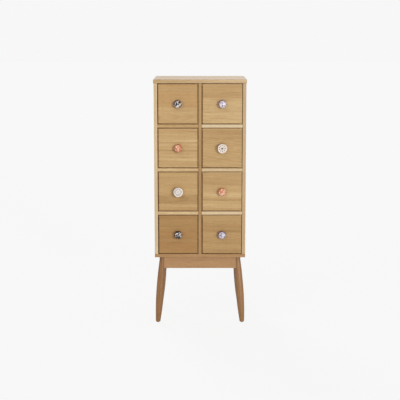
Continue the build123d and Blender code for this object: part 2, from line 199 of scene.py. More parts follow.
def makeWoodFigure():
    # X runs along the grain, Y across the board's width and Z through its thickness
    tree, given, made = newGroup("woodFigure", {
        "Vector": ("Vector", None),
        "End": ("Float", 0.0),
        "Light": ("Color", (0.6, 0.4, 0.2, 1.0)),
        "Dark": ("Color", (0.4, 0.25, 0.1, 1.0)),
        "Seed": ("Float", 0.0),
        "Heart": ("Vector", (0.0, 0.15, 0.05)),
        "Ring Spacing": ("Float", 0.004),
        "Ring Strength": ("Float", 0.4),
        "Band Strength": ("Float", 0.5),
        "Line Strength": ("Float", 0.3),
        "Pore Strength": ("Float", 0.4),
        "Stave Width": ("Float", 1.0),
        "Stave Shift": ("Float", 0.5),
        "Stave Tone": ("Float", 0.0),
    }, {"Color": "Color", "Roughness": "Float", "Height": "Float"})
    along, across, through = put(tree, "SeparateXYZ", {0: given["Vector"]}).outputs

    # edge-glued staves, each cut from another place in a log
    shifted = calc(tree, "ADD", across, given["Stave Shift"])
    stave = calc(tree, "FLOOR", calc(tree, "DIVIDE", shifted, given["Stave Width"]))
    stave = calc(tree, "ADD", stave, given["Seed"])
    dice = put(tree, "TexWhiteNoise", {"W": stave}, noise_dimensions="1D")
    toss = dice.outputs["Value"]
    place = vectorCalc(tree, "MULTIPLY", dice.outputs["Color"], (6.0, 0.09, 0.05))
    place = vectorCalc(tree, "ADD", place, given["Heart"])
    grown = vectorCalc(tree, "ADD", given["Vector"], place)
    seamReach = calc(tree, "PINGPONG", shifted, calc(tree, "MULTIPLY", given["Stave Width"], 0.5))
    seam = spread(tree, seamReach, 0.0001, 0.0005, 1.0, 0.0)

    # growth rings round the log's heart, which lies off the board and tapers along it
    core = vectorCalc(tree, "MULTIPLY", grown, (0.0, 1.0, 1.0))
    radius = vectorCalc(tree, "LENGTH", core)
    taper = calc(tree, "MULTIPLY", put(tree, "SeparateXYZ", {0: grown}).outputs[0], figureShape["taper"])
    wander = calc(tree, "MULTIPLY", noise(tree, grown, *figureScale["wander"]), figureShape["wander"])
    wobble = calc(tree, "MULTIPLY", noise(tree, grown, *figureScale["wobble"]), figureShape["wobble"])
    radius = calc(tree, "ADD", calc(tree, "ADD", radius, taper), calc(tree, "ADD", wander, wobble))
    year = calc(tree, "DIVIDE", radius, given["Ring Spacing"])
    season = calc(tree, "FRACT", year)
    ring = spread(tree, season, 0.15, 0.85)
    ring = calc(tree, "MULTIPLY", ring, spread(tree, season, 0.88, 1.0, 1.0, 0.0))
    weather = put(tree, "TexWhiteNoise", {"W": calc(tree, "FLOOR", year)}, noise_dimensions="1D")
    ring = calc(tree, "MULTIPLY", ring, calc(tree, "ADD", weather.outputs["Value"], 0.3))

    # tone bands, streaks, short dark lines, fibres, pores and pale flecks
    band = calc(tree, "SUBTRACT", noise(tree, grown, *figureScale["band"]), 0.5)
    streak = calc(tree, "SUBTRACT", noise(tree, grown, *figureScale["streak"]), 0.5)
    line = spread(tree, noise(tree, grown, *figureScale["line"]), 0.6, 0.74)
    fibre = calc(tree, "SUBTRACT", noise(tree, grown, *figureScale["fibre"]), 0.5)
    pore = spread(tree, noise(tree, grown, *figureScale["pore"]), 0.6, 0.72)
    pore = calc(tree, "MULTIPLY", pore, calc(tree, "SUBTRACT", 1.0, ring))
    fleck = spread(tree, noise(tree, grown, *figureScale["fleck"]), 0.66, 0.78)

    depth = calc(tree, "MULTIPLY", calc(tree, "SUBTRACT", ring, 0.35), given["Ring Strength"])
    depth = calc(tree, "MULTIPLY_ADD", band, calc(tree, "MULTIPLY", given["Band Strength"], 2.0), depth)
    depth = calc(tree, "MULTIPLY_ADD", line, given["Line Strength"], depth)
    for mask, share in ((streak, "streak"), (fibre, "fibre"), (fleck, "fleck")):
        depth = calc(tree, "MULTIPLY_ADD", mask, figureTone[share], depth)
    depth = calc(tree, "ADD", depth, figureTone["level"], clamp=True)
    colour = mix(tree, depth, given["Light"], given["Dark"])
    poreDark = calc(tree, "MULTIPLY", pore, given["Pore Strength"])
    colour = mix(tree, poreDark, colour, figureTone["poreColour"], "MULTIPLY")
    lift = calc(tree, "MULTIPLY", calc(tree, "SUBTRACT", toss, 0.5), given["Stave Tone"])
    lift = calc(tree, "ADD", lift, 1.0)
    lift = calc(tree, "MULTIPLY", lift, spread(tree, given["End"], 0.0, 1.0, 1.0, figureTone["endGrain"]))
    lift = calc(tree, "MULTIPLY", lift, spread(tree, seam, 0.0, 1.0, 1.0, figureTone["seam"]))
    lift = put(tree, "CombineXYZ", {0: lift, 1: lift, 2: lift}).outputs[0]
    tree.links.new(mix(tree, 1.0, colour, lift, "MULTIPLY"), made["Color"])

    gloss = calc(tree, "MULTIPLY_ADD", fibre, 0.12, figureShape["gloss"])
    gloss = calc(tree, "MULTIPLY_ADD", pore, 0.14, gloss)
    tree.links.new(calc(tree, "MULTIPLY_ADD", given["End"], 0.2, gloss), made["Roughness"])
    relief = calc(tree, "MULTIPLY_ADD", ring, 0.25, calc(tree, "MULTIPLY", fibre, 0.5))
    relief = calc(tree, "MULTIPLY_ADD", pore, -0.7, relief)
    tree.links.new(calc(tree, "MULTIPLY_ADD", seam, -0.6, relief), made["Height"])
    return tree


def makeEdgeWearAndShade():
    # where two faces of a board meet: pale rubbed edges that are also a painted highlight, and painted
    # shade along the edges; Vector is centred on the board
    tree, given, made = newGroup("edgeWearAndShade", {
        "Vector": ("Vector", None),
        "Half Size": ("Vector", (0.1, 0.1, 0.01)),
        "Rubbed Highlight Width": ("Float", 0.002),
        "Shade Width": ("Float", 0.001),
        "One Face": ("Float", 0.0),
    }, {"Rubbed": "Float", "Stained": "Float"})
    away = vectorCalc(tree, "ABSOLUTE", given["Vector"])
    inset = vectorCalc(tree, "SUBTRACT", given["Half Size"], away)
    reaches = put(tree, "SeparateXYZ", {0: inset}).outputs
    broken = spread(tree, noise(tree, given["Vector"], (35.0, 35.0, 35.0), 2.0), 0.3, 0.65, 0.25, 1.0)
    even = spread(tree, noise(tree, given["Vector"], (60.0, 60.0, 60.0), 1.0), 0.3, 0.7, 0.75, 1.0)
    # with One Face at 1 the painted edge shade keeps to the face that Z points out of
    through = put(tree, "SeparateXYZ", {0: given["Vector"]}).outputs[2]
    hidden = calc(tree, "MULTIPLY", spread(tree, through, 0.0, 0.003, 1.0, 0.0), given["One Face"])
    even = calc(tree, "MULTIPLY", even, calc(tree, "SUBTRACT", 1.0, hidden))
    for label, width, patchy in (("Rubbed", "Rubbed Highlight Width", broken), ("Stained", "Shade Width", even)):
        total = -1.0
        for reach in reaches:
            total = calc(tree, "ADD", spread(tree, reach, 0.0, given[width], 1.0, 0.0), total)
        tree.links.new(calc(tree, "MULTIPLY", calc(tree, "MAXIMUM", total, 0.0), patchy), made[label])
    return tree


def makeToneStreak():
    # one long band of another tone across a board, with a wandering edge
    tree, given, made = newGroup("toneStreak", {
        "Vector": ("Vector", None),
        "Place": ("Float", 0.0),
        "Width": ("Float", 0.01),
        "Softness": ("Float", 0.004),
    }, {"Mask": "Float"})
    across = put(tree, "SeparateXYZ", {0: given["Vector"]}).outputs[1]
    wander = calc(tree, "SUBTRACT", noise(tree, given["Vector"], (5.0, 20.0, 20.0), 2.0), 0.5)
    reach = calc(tree, "MULTIPLY_ADD", wander, 0.012, calc(tree, "SUBTRACT", across, given["Place"]))
    reach = calc(tree, "ABSOLUTE", reach)
    half = calc(tree, "MULTIPLY", given["Width"], 0.5)
    edge = calc(tree, "ADD", half, given["Softness"])
    mask = spread(tree, reach, half, edge, 1.0, 0.0)
    broken = spread(tree, noise(tree, given["Vector"], (9.0, 160.0, 90.0), 2.0), 0.25, 0.6, 0.35, 1.0)
    tree.links.new(calc(tree, "MULTIPLY", mask, broken), made["Mask"])
    return tree


woodFigure = makeWoodFigure()
edgeWearAndShade = makeEdgeWearAndShade()
toneStreak = makeToneStreak()
print("Shared effects built")


# oak boards

figureSeeds = {
    # the first board's seed, and the step to the next, so that no two boards have the same figure
    "boards": (0, 3.7),
    "fronts": (40, 5.3),
    "legs": (80, 2.9),
    "boxSides": (120, 1.7),
    "boxBacks": (150, 1.7),
    "boxBases": (0, 9.1),
    "beech": (0, 7.7),
}


def seedOf(family, number):
    first, step = figureSeeds[family]
    return first + step * number


oakLook = {
    "light": tint(206, 172, 117),
    "dark": tint(167, 126, 74),
    "heart": (0.0, 0.13, 0.05),
    "ringSpacing": 0.0042,
    "ringStrength": 0.4,
    "bandStrength": 0.4,
    "lineStrength": 0.3,
    "poreStrength": 0.4,
    "staveWidth": 2.0,
    "staveShift": 1.0,
    "staveTone": 0.0,
    "bump": 0.35,
    "bumpDepth": 0.00015,
    # pale rubbed edges, which also stand in for a painted highlight on the rounded arrises
    "wear": 0.35,
    "wearWidth": 0.0025,
    "wearColour": tint(224, 198, 156),
    # painted shade darkening the board's edges, like the shade in the gaps between parts
    "stain": 0.45,
    "stainWidth": 0.0024,
    "stainColour": (0.34, 0.2, 0.04, 1.0),
    "oneFace": 0.0,
    "coat": 0.15,
    "coatRoughness": 0.32,
}


def deepened(colour, depth, pale=0.0):
    # a darker stain takes more blue than red away; pale lets it fall towards sapwood
    sapwood = tint(232, 219, 192)
    stained = [colour[i] * depth ** power for i, power in enumerate((1.0, 1.45, 2.3))]
    return tuple(a + (b - a) * pale for a, b in zip(stained, sapwood)) + (1.0,)


def boardMaterial(name, corners, grain, across, look, seed):
    low, high = corners
    turn = Matrix((grain, across, grain.cross(across)))
    centre = turn @ ((low + high) / 2)
    half = [abs(value) for value in turn @ ((high - low) / 2)]
    depth, pale = look.get("depth", 1.0), look.get("pale", 0.0)
    material, tree, shader = newMaterial(name)
    place = put(tree, "TexCoord")
    board = put(tree, "Mapping", {
        "Vector": place.outputs["Object"],
        "Location": -centre,
        "Rotation": turn.to_euler(),
    }).outputs[0]
    facing = vectorCalc(tree, "DOT_PRODUCT", place.outputs["Normal"], tuple(grain))
    facing = calc(tree, "ABSOLUTE", facing)
    figure = put(tree, "Group", {
        "Vector": board,
        "End": spread(tree, facing, 0.6, 0.8),
        "Light": deepened(look["light"], depth, pale),
        "Dark": deepened(look["dark"], depth, pale),
        "Seed": seed,
        "Heart": look["heart"],
        "Ring Spacing": look["ringSpacing"],
        "Ring Strength": look["ringStrength"],
        "Band Strength": look["bandStrength"],
        "Line Strength": look["lineStrength"],
        "Pore Strength": look["poreStrength"],
        "Stave Width": look["staveWidth"],
        "Stave Shift": look["staveShift"],
        "Stave Tone": look["staveTone"],
    }, node_tree=woodFigure)
    colour = figure.outputs["Color"]
    for height, width, softness, gain in look.get("streaks", ()):
        mask = put(tree, "Group", {
            "Vector": board,
            "Place": height,
            "Width": width,
            "Softness": softness,
        }, node_tree=toneStreak)
        colour = mix(tree, mask.outputs[0], colour, gain + (1.0,), "MULTIPLY")
    if "ends" in look:
        startGain, endGain = look["ends"]
        along = put(tree, "SeparateXYZ", {0: board}).outputs[0]
        share = calc(tree, "MULTIPLY_ADD", along, 0.5 / half[0], 0.5, clamp=True)
        gains = mix(tree, share, startGain + (1.0,), endGain + (1.0,))
        colour = mix(tree, 1.0, colour, gains, "MULTIPLY")
    edges = put(tree, "Group", {
        "Vector": board,
        "Half Size": half,
        "Rubbed Highlight Width": look["wearWidth"],
        "Shade Width": look["stainWidth"],
        "One Face": look["oneFace"],
    }, node_tree=edgeWearAndShade)
    # pale rubbed edges that are also a painted highlight
    rubbedHighlight = calc(tree, "MULTIPLY", edges.outputs["Rubbed"], look["wear"])
    colour = mix(tree, rubbedHighlight, colour, deepened(look["wearColour"], depth))
    # painted shade along the board's edges
    stained = calc(tree, "MULTIPLY", edges.outputs["Stained"], look["stain"])
    if "stainShares" in look:
        # more or less of the painted edge shade at the start and end of the grain, and below and above
        starts, full = look["shareReach"]
        ways = put(tree, "SeparateXYZ", {0: board}).outputs
        for way, reach, (first, last) in zip(ways, half, look["stainShares"]):
            change = spread(tree, way, starts - reach, reach - starts, first - 1, last - 1)
            near = spread(tree, calc(tree, "ABSOLUTE", way), reach - starts, reach - full)
            share = calc(tree, "MULTIPLY_ADD", change, near, 1.0)
            stained = calc(tree, "MULTIPLY", stained, share)
    colour = mix(tree, stained, colour, look["stainColour"], "MULTIPLY")
    bump = put(tree, "Bump", {
        "Strength": look["bump"],
        "Distance": look["bumpDepth"],
        "Height": figure.outputs["Height"],
    })
    feed(
        tree, shader,
        BaseColor=colour,
        Roughness=figure.outputs["Roughness"],
        Normal=bump.outputs[0],
        CoatWeight=look["coat"],
        CoatRoughness=look["coatRoughness"],
    )
    return material


def dress(node, material, slot=0):
    nodes[node].material_slots[slot].material = material


railTone = {"light": tint(192, 150, 104), "dark": tint(155, 111, 66), "ringStrength": 0.25}

# depth: above 1 lighter, below 1 darker; pale: towards sapwood
# ends: what the colour is multiplied by where the grain starts and where it ends
boards = {
    "top_panel": {"grain": sideways, "across": inwards, "staveWidth": 0.062, "staveTone": 0.1,
                  "depth": 0.98, "pale": 0.07, "coat": 0.75, "coatRoughness": 0.6, "stain": 0.8,
                  "ends": ((0.9, 0.88, 0.8), (1.12, 1.19, 1.38))},
    "bottom_panel": {"grain": sideways, "across": inwards, "staveWidth": 0.07, "staveTone": 0.1,
                     "light": tint(205, 167, 118), "dark": tint(167, 122, 75), "depth": 0.85},
    "left_side_panel": {"grain": upwards, "across": inwards, "staveWidth": 0.058, "staveTone": 0.06,
                        "depth": 1.2, "pale": 0.25, "stain": 0.3},
    "right_side_panel": {"grain": upwards, "across": inwards, "staveWidth": 0.066, "staveTone": 0.06,
                         "depth": 0.88, "pale": 0.2, "stain": 0.3},
    "centre_divider": {"grain": upwards, "across": inwards, "depth": 0.84, "stain": 0.85,
                       "ends": ((0.92, 0.88, 0.9), (1.05, 1.08, 1.12))},
    "left_shelf_1": {"grain": sideways, "across": inwards, "stain": 0.7, "depth": 0.97},
    "left_shelf_2": {"grain": sideways, "across": inwards, "stain": 0.7, "depth": 1.25},
    "left_shelf_3": {"grain": sideways, "across": inwards, "stain": 0.7, "depth": 1.3},
    "right_shelf_1": {"grain": sideways, "across": inwards, "stain": 0.7, "depth": 1.27, "pale": 0.36},
    "right_shelf_2": {"grain": sideways, "across": inwards, "stain": 0.7, "depth": 1.15, "pale": 0.22},
    "right_shelf_3": {"grain": sideways, "across": inwards, "stain": 0.7, "depth": 1.36, "pale": 0.25},
    "front_rail": {"grain": sideways, "across": upwards, **railTone},
    "back_rail": {"grain": sideways, "across": upwards, **railTone},
    "left_rail": {"grain": inwards, "across": upwards, **railTone},
    "right_rail": {"grain": inwards, "across": upwards, **railTone},
}

for number, (name, own) in enumerate(boards.items()):
    look = {**oakLook, **own}
    seed = seedOf("boards", number)
    dress(name, boardMaterial(name + "_oak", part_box(name), own["grain"], own["across"], look, seed))

frontTone = {
    "ringStrength": 0.28,
    "bandStrength": 0.3,
    "stain": 1.0,
    "stainWidth": 0.0048,
    "oneFace": 1.0,
    "shareReach": (0.014, 0.006),     # how near to an edge its share of the painted edge shade starts and is full
}
stainShares = {
    # what the painted edge shade is multiplied by in each column, at a front's left and right, and below
    # and above; heavier at the left, where the shade falls
    "left": ((1.45, 0.65), (0.65, 0.75)),
    "right": ((1.1, 0.1), (0.75, 0.3)),
}

# streaks: height over the front's middle, width, softness, and what the colour is multiplied by
lighter = (1.14, 1.2, 1.32)
palest = (1.2, 1.32, 1.52)
paler = (1.05, 1.07, 1.12)
duller = (0.96, 0.94, 0.91)
darker = (0.92, 0.89, 0.85)
darkest = (0.83, 0.79, 0.72)
redder = (0.99, 0.92, 0.86)
straight = (0.0, 0.16, 0.04)
arched = (0.0, 0.02, 0.04)
fronts = {
    "left_drawer_1": {"depth": 0.95, "heart": arched, "streaks": [
        (0.078, 0.006, 0.003, redder), (0.02, 0.05, 0.02, redder), (-0.05, 0.05, 0.02, paler)]},
    "right_drawer_1": {"depth": 0.96, "heart": straight, "streaks": [
        (-0.03, 0.11, 0.001, palest), (0.031, 0.0015, 0.001, redder)]},
    "left_drawer_2": {"depth": 1.04, "heart": straight, "lineStrength": 0.65, "streaks": [
        (0.032, 0.004, 0.002, palest), (0.055, 0.003, 0.002, darker), (0.024, 0.003, 0.001, darkest),
        (0.013, 0.005, 0.002, lighter), (-0.011, 0.004, 0.002, darkest), (-0.05, 0.008, 0.004, lighter)]},
    "right_drawer_2": {"depth": 1.0, "heart": (0.0, 0.06, 0.12), "lineStrength": 0.2, "streaks": [
        (0.055, 0.03, 0.02, duller), (-0.03, 0.03, 0.02, duller)]},
    "left_drawer_3": {"depth": 0.955, "heart": arched, "lineStrength": 0.15, "streaks": [
        (0.018, 0.014, 0.006, duller), (-0.034, 0.038, 0.006, darkest), (-0.06, 0.04, 0.02, duller),
        (-0.062, 0.008, 0.003, lighter)]},
    "right_drawer_3": {"depth": 1.02, "heart": straight, "lineStrength": 0.15, "streaks": [
        (0.062, 0.06, 0.001, darker), (-0.015, 0.012, 0.004, lighter), (-0.036, 0.008, 0.003, darkest),
        (-0.066, 0.012, 0.004, lighter)]},
    "left_drawer_4": {"depth": 0.76, "heart": arched, "lineStrength": 0.15, "streaks": [
        (0.0, 0.2, 0.01, (0.99, 0.97, 0.92)), (0.0, 0.01, 0.02, redder), (-0.06, 0.03, 0.02, redder)]},
    # on the lower right front the darkest streak near the bottom edge is painted shade
    "right_drawer_4": {"depth": 0.88, "heart": (0.0, 0.06, 0.1), "lineStrength": 0.15, "streaks": [
        (0.028, 0.034, 0.006, darker), (-0.01, 0.02, 0.01, paler), (-0.074, 0.008, 0.003, darkest)]},
}

for number, (name, own) in enumerate(fronts.items()):
    column = name.split("_")[0]
    look = {**oakLook, **frontTone, "stainShares": stainShares[column], **own}
    front = name + "_front"
    seed = seedOf("fronts", number)
    dress(front, boardMaterial(front + "_oak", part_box(front), sideways, upwards, look, seed))
print("Oak boards dressed")


# turned legs

legLook = {
    **oakLook,
    "light": tint(163, 118, 72),
    "dark": tint(122, 81, 42),
    "heart": (0.0, 0.02, 0.03),
    "ringSpacing": 0.006,
    "ringStrength": 0.5,
    "wear": 0.0,
    "stain": 0.0,
    "coat": 0.0,
    "splay": 22 * mm,     # how far the foot stands out from the top, both ways
    "length": 300 * mm,
}

legs = {
    # which way each leg stands out, sideways and inwards, and how light it is
    "front_left_leg": (-1, -1, 0.9),
    "front_right_leg": (1, -1, 1.09),
    "back_left_leg": (-1, 1, 0.9),
    "back_right_leg": (1, 1, 0.95),
}

for number, (leg, (side, end, depth)) in enumerate(legs.items()):
    lean = Vector((-side * legLook["splay"], -end * legLook["splay"], legLook["length"])).normalized()
    across = Vector((lean.z, 0, -lean.x)).normalized()
    look = {**legLook, "depth": depth}
    dress(leg, boardMaterial(leg + "_oak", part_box(leg), lean, across, look, seedOf("legs", number)))
print("Legs dressed")


# drawer boxes, plywood and hidden wood

boxLook = {
    **oakLook,
    "light": tint(226, 206, 170),
    "dark": tint(201, 174, 134),
    "ringStrength": 0.35,
    "bandStrength": 0.3,
    "poreStrength": 0.2,
    "wearColour": tint(240, 226, 198),
    "coat": 0.05,
}
beechLook = {
    **boxLook,
    "light": tint(222, 190, 150),
    "dark": tint(190, 150, 110),
    "ringSpacing": 0.003,
    "poreStrength": 0.35,
}
plyLook = {
    "light": tint(222, 198, 158),
    "dark": tint(196, 164, 120),
    "crossPly": tint(160, 122, 82),
    "veneer": 0.001,
    "ringSpacing": 0.011,
    "ringStrength": 0.6,
    "poreStrength": 0.15,
    "bump": 0.3,
    "bumpDepth": 0.0001,
    "edgeRoughness": 0.15,    # more than on the faces
    "seed": 17.0,
}


def plywoodMaterial(name, corners, grain, across, look):
    # broad peeled figure on the faces, and thin crossed veneers on the edges
    low, high = corners
    thickness = grain.cross(across)
    turn = Matrix((grain, across, thickness))
    material, tree, shader = newMaterial(name)
    place = put(tree, "TexCoord")
    board = put(tree, "Mapping", {
        "Vector": place.outputs["Object"],
        "Location": -(turn @ ((low + high) / 2)),
        "Rotation": turn.to_euler(),
    }).outputs[0]
    facing = vectorCalc(tree, "DOT_PRODUCT", place.outputs["Normal"], tuple(thickness))
    facing = calc(tree, "ABSOLUTE", facing)
    edge = spread(tree, facing, 0.3, 0.6, 1.0, 0.0)
    figure = put(tree, "Group", {
        "Vector": board,
        "Light": look["light"],
        "Dark": look["dark"],
        "Seed": look["seed"],
        "Ring Spacing": look["ringSpacing"],
        "Ring Strength": look["ringStrength"],
        "Pore Strength": look["poreStrength"],
    }, node_tree=woodFigure)
    through = put(tree, "SeparateXYZ", {0: board}).outputs[2]
    layer = calc(tree, "PINGPONG", calc(tree, "ADD", through, 0.5 * look["veneer"]), look["veneer"])
    crossed = spread(tree, layer, 0.45 * look["veneer"], 0.55 * look["veneer"])
    crossed = calc(tree, "MULTIPLY", crossed, edge)
    colour = mix(tree, crossed, figure.outputs["Color"], look["crossPly"])
    bump = put(tree, "Bump", {
        "Strength": look["bump"],
        "Distance": look["bumpDepth"],
        "Height": figure.outputs["Height"],
    })
    rough = calc(tree, "MULTIPLY_ADD", edge, look["edgeRoughness"], figure.outputs["Roughness"])
    feed(tree, shader, BaseColor=colour, Roughness=rough, Normal=bump.outputs[0])
    return material


def paintFaces(node, materials, choose):
    # several finishes on one CAD node, by where each face lies
    mesh = nodes[node].data
    dress(node, materials[0])
    for material in materials[1:]:
        mesh.materials.append(material)
    for face in mesh.polygons:
        face.material_index = choose(face.center)


boxPieces = {
    "frontGap": 2.2 * mm,     # from the bay floor up to the front
    "baseTop": 12.3 * mm,     # over the bay floor
    "backWall": 10 * mm,
    "backSetback": 8 * mm,
    "sideWall": 6 * mm,       # what shows of a side inside the back's groove
    "slack": 0.1 * mm,
}

for number, drawer in enumerate(fronts):
    node = drawer + "_box"
    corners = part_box(node)
    low, high = corners
    side = boardMaterial(
        drawer + "_side_wood", corners, inwards, upwards, boxLook, seedOf("boxSides", number)
    )
    back = boardMaterial(
        drawer + "_back_wood", corners, sideways, upwards, boxLook, seedOf("boxBacks", number)
    )
    baseLook = {**plyLook, "seed": seedOf("boxBases", number)}
    base = plywoodMaterial(drawer + "_base_ply", corners, sideways, inwards, baseLook)
    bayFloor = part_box(drawer + "_front")[0].z - boxPieces["frontGap"]
    baseTop = bayFloor + boxPieces["baseTop"] + boxPieces["slack"]
    backFrom = high.y - boxPieces["backSetback"] - boxPieces["backWall"] - boxPieces["slack"]
    wall = boxPieces["sideWall"] - boxPieces["slack"]

    def choose(centre):
        inside = low.x + wall < centre.x < high.x - wall
        if inside and centre.z < baseTop:
            return 2
        if inside and centre.y > backFrom:
            return 1
        return 0

    paintFaces(node, [side, back, base], choose)

dress("back_panel", plywoodMaterial("back_ply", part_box("back_panel"), upwards, sideways, plyLook))
for number, name in enumerate(("carcass_dowels", "drawer_stops", "corner_blocks")):
    seed = seedOf("beech", number)
    dress(name, boardMaterial(name + "_beech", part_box(name), sideways, inwards, beechLook, seed))
print("Drawer boxes and plywood dressed")


# metal and plastic

def makeMetalWear():
    # soft mottling and fine scratches for metal
    tree, given, made = newGroup("metalWear", {
        "Vector": ("Vector", None),
        "Mottle Scale": ("Float", 120.0),
        "Scratch Scale": ("Float", 900.0),
    }, {"Mottle": "Float", "Scratch": "Float"})
    settings = {"Vector": given["Vector"], "Scale": given["Mottle Scale"], "Detail": 3.0}
    mottle = put(tree, "TexNoise", settings).outputs[0]
    drawn = vectorCalc(tree, "MULTIPLY", given["Vector"], (1.0, 1.0, 0.08))
    settings = {"Vector": drawn, "Scale": given["Scratch Scale"], "Detail": 2.0}
    scratch = put(tree, "TexNoise", settings).outputs[0]
    tree.links.new(spread(tree, mottle, 0.35, 0.65), made["Mottle"])
    tree.links.new(spread(tree, scratch, 0.4, 0.7), made["Scratch"])
    return tree


metalWear = makeMetalWear()
fineBump = {"Strength": 0.2, "Distance": 0.00005}


def metalMaterial(name, look):
    material, tree, shader = newMaterial(name)
    place = put(tree, "TexCoord")
    wear = put(tree, "Group", {
        "Vector": place.outputs["Object"],
        "Mottle Scale": look["mottleScale"],
    }, node_tree=metalWear)
    colour = mix(tree, wear.outputs["Mottle"], look["bright"], look["dull"])
    rough = spread(tree, wear.outputs["Mottle"], 0.0, 1.0, look["smooth"], look["rough"])
    bump = put(tree, "Bump", {**fineBump, "Height": wear.outputs["Scratch"]})
    feed(tree, shader, BaseColor=colour, Roughness=rough, Metallic=1.0, Normal=bump.outputs[0])
    return material


metals = {
    "zinc": {"bright": tint(205, 208, 210), "dull": tint(160, 163, 168), "smooth": 0.28, "rough": 0.45,
             "mottleScale": 260.0},
    "brass": {"bright": tint(214, 180, 112), "dull": tint(160, 122, 66), "smooth": 0.22, "rough": 0.42,
              "mottleScale": 160.0},
    "agedCap": {"bright": tint(150, 142, 126), "dull": tint(72, 64, 52), "smooth": 0.3, "rough": 0.5,
                "mottleScale": 320.0},
}
finishes = {name: metalMaterial(name, look) for name, look in metals.items()}
for name in ("back_panel_screws", "leg_bolts", "frame_screws"):
    dress(name, finishes["zinc"])

glideLook = {"pale": tint(206, 200, 188), "dirty": tint(168, 160, 146)}
material, tree, shader = newMaterial("glide_nylon")
place = put(tree, "TexCoord").outputs["Object"]
grime = spread(tree, noise(tree, place, (120.0, 120.0, 120.0), 3.0), 0.35, 0.7)
peel = noise(tree, place, (1600.0, 1600.0, 1600.0), 1.0)
bump = put(tree, "Bump", {**fineBump, "Height": peel})
feed(
    tree, shader,
    BaseColor=mix(tree, grime, glideLook["pale"], glideLook["dirty"]),
    Roughness=spread(tree, grime, 0.0, 1.0, 0.45, 0.6),
    Normal=bump.outputs[0],
)
dress("foot_glides", material)
print("Metal and plastic dressed")


# ceramic knobs, modelled once for each shape

knobSizes = {
    "collar": 3 * mm,
    "bore": 2.25 * mm,
    "neck": 9.5 * mm,
    "neckTop": 5 * mm,
    "domeRadius": 18.5 * mm,
    "domeBelly": 12.5 * mm,
    "domeTop": 29 * mm,
    "boreTop": 17 * mm,
    "discRadius": 22.5 * mm,
    "discTop": 20 * mm,
    "discRim": 3.2 * mm,
    "dish": 2.2 * mm,
    "boss": 5.5 * mm,
    "ringHeight": 0.6 * mm,
    "ringReach": 0.8 * mm,
    "tip": 0.3 * mm,          # the rounding of small edges
    "sides": 32,
    "smoothing": 2,
}


def quarter(start, end, steps, bulge):
    # points of a quarter ellipse, without its start; bulge "out" leaves start going outwards
    points = []
    for step in range(1, steps + 1):
        angle = math.pi / 2 * step / steps
        rise, run = math.sin(angle), 1 - math.cos(angle)
        if bulge == "in":
            rise, run = run, rise
        points.append((start[0] + (end[0] - start[0]) * rise, start[1] + (end[1] - start[1]) * run))
    return points


def domeProfile(sizes):
    # (radius, distance from the drawer's face), from the end of the bore round to the crown
    tip = sizes["tip"]
    belly = (sizes["domeRadius"], sizes["domeBelly"])
    outline = [(tip, sizes["boreTop"]), (sizes["bore"], sizes["boreTop"])]
    outline += [(sizes["bore"], sizes["collar"]), (sizes["neck"] - tip, sizes["collar"])]
    outline += [(sizes["neck"], sizes["collar"] + tip), (sizes["neck"], sizes["neckTop"])]
    outline += quarter((sizes["neck"], sizes["neckTop"]), belly, 4, "out")
    outline += quarter(belly, (tip, sizes["domeTop"]), 6, "in")
    return outline


def discProfile(sizes, rings):
    # rings are the radii of the raised rings in the dish
    tip = sizes["tip"]
    top, rim = sizes["discTop"], sizes["discRim"]
    shoulder = (sizes["discRadius"], top - rim)
    inner = sizes["discRadius"] - rim
    outline = [(sizes["bore"], sizes["collar"]), (sizes["neck"] - tip, sizes["collar"])]
    outline += [(sizes["neck"], sizes["collar"] + tip), (sizes["neck"], sizes["neckTop"])]
    outline += quarter((sizes["neck"], sizes["neckTop"]), shoulder, 5, "out")
    outline += quarter(shoulder, (inner, top), 3, "in")
    middle = (inner + sizes["boss"]) / 2
    reach = (inner - sizes["boss"]) / 2
    steps = 10
    for step in range(1, steps):
        radius = inner + (sizes["boss"] - inner) * step / steps
        hollow = sizes["dish"] * (1 - ((radius - middle) / reach) ** 2)
        if any(abs(radius - ring) < sizes["ringReach"] for ring in rings):
            hollow -= sizes["ringHeight"]
        outline.append((radius, top - hollow))
    outline += [(sizes["boss"], top), (sizes["bore"] + tip, top), (sizes["bore"], top - tip)]
    outline += [(sizes["bore"], sizes["collar"])]
    return outline


def turnKnob(name, outline, sides, smoothing):
    # a ring of edges is extruded and resized from point to point of the outline
    bpy.ops.object.select_all(action="DESELECT")
    radius, out = outline[0]
    bpy.ops.mesh.primitive_circle_add(
        vertices=sides, radius=radius, location=(0, -out, 0), rotation=(math.pi / 2, 0, 0)
    )
    knob = bpy.context.active_object
    knob.name = name
    bpy.ops.object.transform_apply(location=True, rotation=True, scale=True)
    bpy.ops.object.mode_set(mode="EDIT")
    bpy.ops.mesh.select_all(action="SELECT")
    for (oldRadius, oldOut), (radius, out) in zip(outline, outline[1:]):
        bpy.ops.mesh.extrude_edges_move(TRANSFORM_OT_translate={"value": (0, oldOut - out, 0)})
        share = radius / oldRadius
        bpy.ops.transform.resize(value=(share, 1, share), center_override=(0, -out, 0))
    bpy.ops.mesh.select_all(action="SELECT")
    bpy.ops.mesh.remove_doubles(threshold=0.00001)
    bpy.ops.mesh.select_all(action="DESELECT")
    bpy.ops.mesh.select_non_manifold()
    bpy.ops.mesh.edge_collapse()
    bpy.ops.mesh.select_all(action="SELECT")
    bpy.ops.mesh.normals_make_consistent(inside=False)
    bpy.ops.object.mode_set(mode="OBJECT")
    bpy.ops.object.modifier_add(type="SUBSURF")
    knob.modifiers[0].levels = smoothing
    knob.modifiers[0].render_levels = smoothing
    bpy.ops.object.modifier_apply(modifier=knob.modifiers[0].name)
    bpy.ops.object.shade_smooth()
    return knob


